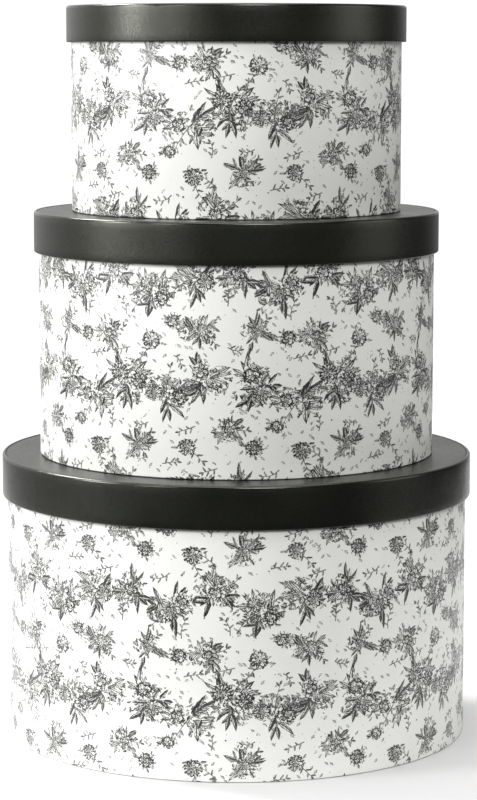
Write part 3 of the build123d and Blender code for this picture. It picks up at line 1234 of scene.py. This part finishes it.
class StageSettings(bpy.types.PropertyGroup):
    """The studio round the boxes."""

    lens: number_input("Lens", "Focal length in millimetres", 120.6, 1.0)
    camera_distance: length_input("Distance", "Camera's distance in front", 1.991)
    camera_height: length_input("Height", "Camera's height", 0.507)
    camera_pitch: angle_input("Pitch", "Downward tilt", math.radians(7.435))
    key_power: number_input("Key", "Power of the main softbox in watts", 34.0)
    strip_power: number_input("Strip", "Power of the softbox beside the camera in watts", 11.0)
    card_power: number_input("Card", "Power of the dim card on the right in watts", 6.0)
    back_power: number_input("Back", "Strength of the light from the high rear left", 3.2)
    back_spread: angle_input("Back spread", "Apparent width of the rear light", 0.3)
    top_power: number_input("Top", "Strength of the overhead light", 2.2)
    top_spread: angle_input("Top spread", "Apparent width of the overhead light", 0.9)
    front_power: number_input("Front", "Strength of the high front light", 1.8)
    front_spread: angle_input("Front spread", "Apparent width of the front light", 0.4)
    fill: number_input("Fill", "Weakest surrounding light", 0.08)
    glow: number_input("Glow", "Strongest surrounding light", 1.0)
    glow_direction: FloatVectorProperty(
        name="Glow direction", description="Where the surrounding light is strongest",
        subtype="DIRECTION", default=(-0.8, 0.55, 0.24),
    )
    floor_width: length_input("Floor width", "Width of the floor", 1.4)
    floor_depth: length_input("Floor depth", "Depth of the floor", 2.0)
    floor_front: length_input("Floor in front", "How far the floor reaches in front", 0.25)
    floor: colour_input("Floor", "Colour of the floor", (0.56, 0.56, 0.56))


# Stage


def area_light(name, place, target, size, power):
    """A rectangular softbox at place that faces target."""
    data = bpy.data.lights.new(name, "AREA")
    data.shape = "RECTANGLE"
    data.size, data.size_y = size
    data.energy = power
    light = bpy.data.objects.new(name, data)
    light.location = place
    light.rotation_euler = (Vector(target) - Vector(place)).to_track_quat("-Z", "Y").to_euler()
    bpy.context.scene.collection.objects.link(light)


def sun_light(name, place, strength, spread):
    """A wide soft light that comes evenly from the direction of place."""
    data = bpy.data.lights.new(name, "SUN")
    data.energy = strength
    data.angle = spread
    light = bpy.data.objects.new(name, data)
    light.location = Vector(place) * 3
    light.rotation_euler = Vector(place).to_track_quat("Z", "Y").to_euler()
    bpy.context.scene.collection.objects.link(light)


def floor_material(floor_colour):
    """Matt pale floor with faint clouds."""
    material, nodes, shader = new_material("studio_floor")
    clouds = nodes.noise(nodes.object_place(), 6.0, 3.0)
    nodes.feed(shader["Base Color"], nodes.shaded(floor_colour, nodes.spread(clouds, 0.3, 0.7, 0.97, 1.0)))
    shader["Roughness"].default_value = 0.9
    shader["Specular IOR Level"].default_value = 0.1
    return material


def studio_floor(settings):
    """The floor, on the stage and not part of the boxes."""
    bm = bmesh.new()
    bmesh.ops.create_grid(bm, x_segments=8, y_segments=8, size=1.0)
    bmesh.ops.scale(bm, verts=bm.verts, vec=(settings.floor_width / 2, settings.floor_depth / 2, 1.0))
    bmesh.ops.translate(bm, verts=bm.verts, vec=(0.0, settings.floor_depth / 2 - settings.floor_front, 0.0))
    mesh = plain_mesh("floor", bm)
    mesh.materials.append(floor_material(settings.floor))
    floor = bpy.data.objects.new("floor", mesh)
    bpy.context.scene.collection.objects.link(floor)


def studio_lights(settings):
    """Softboxes on the left, a dim card on the right, and soft light from above, behind and in front."""
    height = 1.02
    level = (0.0, 0.0, height)
    area_light("key", (-1.9, -0.66, height), level, (0.55, 1.1), settings.key_power)
    area_light("strip", (-1.3, -1.55, height), level, (0.45, 1.1), settings.strip_power)
    area_light("card", (1.9, -0.25, 0.8), (0.0, 0.0, 0.27), (1.0, 1.1), settings.card_power)
    sun_light("top", (0.0, 0.0, 1.0), settings.top_power, settings.top_spread)
    sun_light("back", (-0.55, 0.42, 0.7), settings.back_power, settings.back_spread)
    sun_light("front", (0.2, -0.82, 0.53), settings.front_power, settings.front_spread)


def studio_world(settings):
    """White to look at. As a light it is brightest at the rear left and weakest in front."""
    world = bpy.data.worlds.new("studio")
    world.use_nodes = True
    nodes = Nodes(world.node_tree)
    background = world.node_tree.nodes["Background"].inputs
    background["Color"].default_value = (1.0, 1.0, 1.0, 1.0)
    way = nodes.tap("ShaderNodeTexCoord", "Generated")
    facing = nodes.vector("DOT_PRODUCT", way, settings.glow_direction)
    rise = nodes.spread(nodes.split(way)[2], -0.2, 0.0, 0.15, 1.0)
    glow = nodes.spread(facing, -0.2, 1.0, settings.fill, settings.glow) * rise
    seen = nodes.tap("ShaderNodeLightPath", "Is Camera Ray")
    nodes.feed(background["Strength"], glow | seen * 1.05)
    return world


def studio_camera(settings):
    """A long lens in front of the boxes, a little above them."""
    data = bpy.data.cameras.new("camera")
    data.lens = settings.lens
    data.clip_end = 50.0
    camera = bpy.data.objects.new("camera", data)
    camera.location = (0.0016, -settings.camera_distance, settings.camera_height)
    camera.rotation_euler = (math.pi / 2 - settings.camera_pitch, 0.0, 0.0)
    bpy.context.scene.collection.objects.link(camera)
    return camera


# Operators


class HATBOX_OT_printed_papers(bpy.types.Operator):
    """Wraps each box in its printed paper"""

    bl_idname = "hatbox.printed_papers"
    bl_label = "Printed Papers"

    def execute(self, context):
        settings = context.scene.hatbox_paper
        repeat = cut(draw(settings.design_seed))
        tree = wrapping_tree(print_materials(settings))
        for size in SIZES:
            printed_paper(BoxMeasures(size), repeat, tree, settings)
        return {"FINISHED"}


class HATBOX_OT_lid_covers(bpy.types.Operator):
    """Covers each lid in leather paper"""

    bl_idname = "hatbox.lid_covers"
    bl_label = "Lid Covers"

    def execute(self, context):
        settings = context.scene.hatbox_lids
        grain = settings.grain_depth
        materials = (
            lid_leather("lid_leather_paper", settings, settings.roughness, grain),
            lid_leather("burnished_lid_edge", settings, settings.edge_roughness, grain / 2),
        )
        for size in SIZES:
            lid_covers(BoxMeasures(size), materials, settings)
        return {"FINISHED"}


class HATBOX_OT_linings(bpy.types.Operator):
    """Gives the linings and the boards their finishes"""

    bl_idname = "hatbox.linings"
    bl_label = "Linings and Boards"

    def execute(self, context):
        settings = context.scene.hatbox_linings
        boards = ("box_wall", "box_base", "lid_rim_board", "lid_top_board")
        linings = ("box_wall_lining", "box_floor_lining", "box_underside_paper", "lid_lining")
        for finish, parts in (
            (plain_paper("lining_paper", settings.lining), linings),
            (chipboard(settings.board), boards),
        ):
            for name in (f"{size}_{part}" for size in SIZES for part in parts):
                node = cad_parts[name]
                for slot in node.material_slots:
                    slot.material = finish
                if not node.material_slots:
                    node.data.materials.append(finish)
        return {"FINISHED"}


class HATBOX_OT_stage(bpy.types.Operator):
    """Sets up the floor, the lights and the camera"""

    bl_idname = "hatbox.stage"
    bl_label = "Stage"

    def execute(self, context):
        settings = context.scene.hatbox_stage
        studio_floor(settings)
        studio_lights(settings)
        context.scene.world = studio_world(settings)
        context.scene.camera = studio_camera(settings)
        context.scene.view_settings.view_transform = "Standard"
        return {"FINISHED"}


class HATBOX_PT_panel(bpy.types.Panel):
    """Sizes and colours of the hat boxes"""

    bl_idname = "HATBOX_PT_panel"
    bl_label = "Hat Boxes"
    bl_space_type = "VIEW_3D"
    bl_region_type = "UI"
    bl_category = "Hat Boxes"

    def draw(self, context):
        for operator, settings in (
            (HATBOX_OT_printed_papers, context.scene.hatbox_paper),
            (HATBOX_OT_lid_covers, context.scene.hatbox_lids),
            (HATBOX_OT_linings, context.scene.hatbox_linings),
            (HATBOX_OT_stage, context.scene.hatbox_stage),
        ):
            box = self.layout.box()
            box.operator(operator.bl_idname)
            for name in type(settings).__annotations__:
                box.prop(settings, name)


SETTINGS = {
    "hatbox_paper": PrintedPaperSettings,
    "hatbox_lids": LidSettings,
    "hatbox_linings": LiningSettings,
    "hatbox_stage": StageSettings,
}
CLASSES = (
    *SETTINGS.values(),
    HATBOX_OT_printed_papers,
    HATBOX_OT_lid_covers,
    HATBOX_OT_linings,
    HATBOX_OT_stage,
    HATBOX_PT_panel,
)


def register():
    """Adds the settings, operators and panel to Blender."""
    for cls in CLASSES:
        bpy.utils.register_class(cls)
    for name, group in SETTINGS.items():
        setattr(bpy.types.Scene, name, PointerProperty(type=group))


def unregister():
    """Takes them out again."""
    for name in SETTINGS:
        delattr(bpy.types.Scene, name)
    for cls in reversed(CLASSES):
        bpy.utils.unregister_class(cls)


def main():
    """Builds the set and its stage."""
    register()
    bpy.ops.hatbox.printed_papers()
    bpy.ops.hatbox.lid_covers()
    bpy.ops.hatbox.linings()
    bpy.ops.hatbox.stage()


if __name__ == "__main__":
    main()
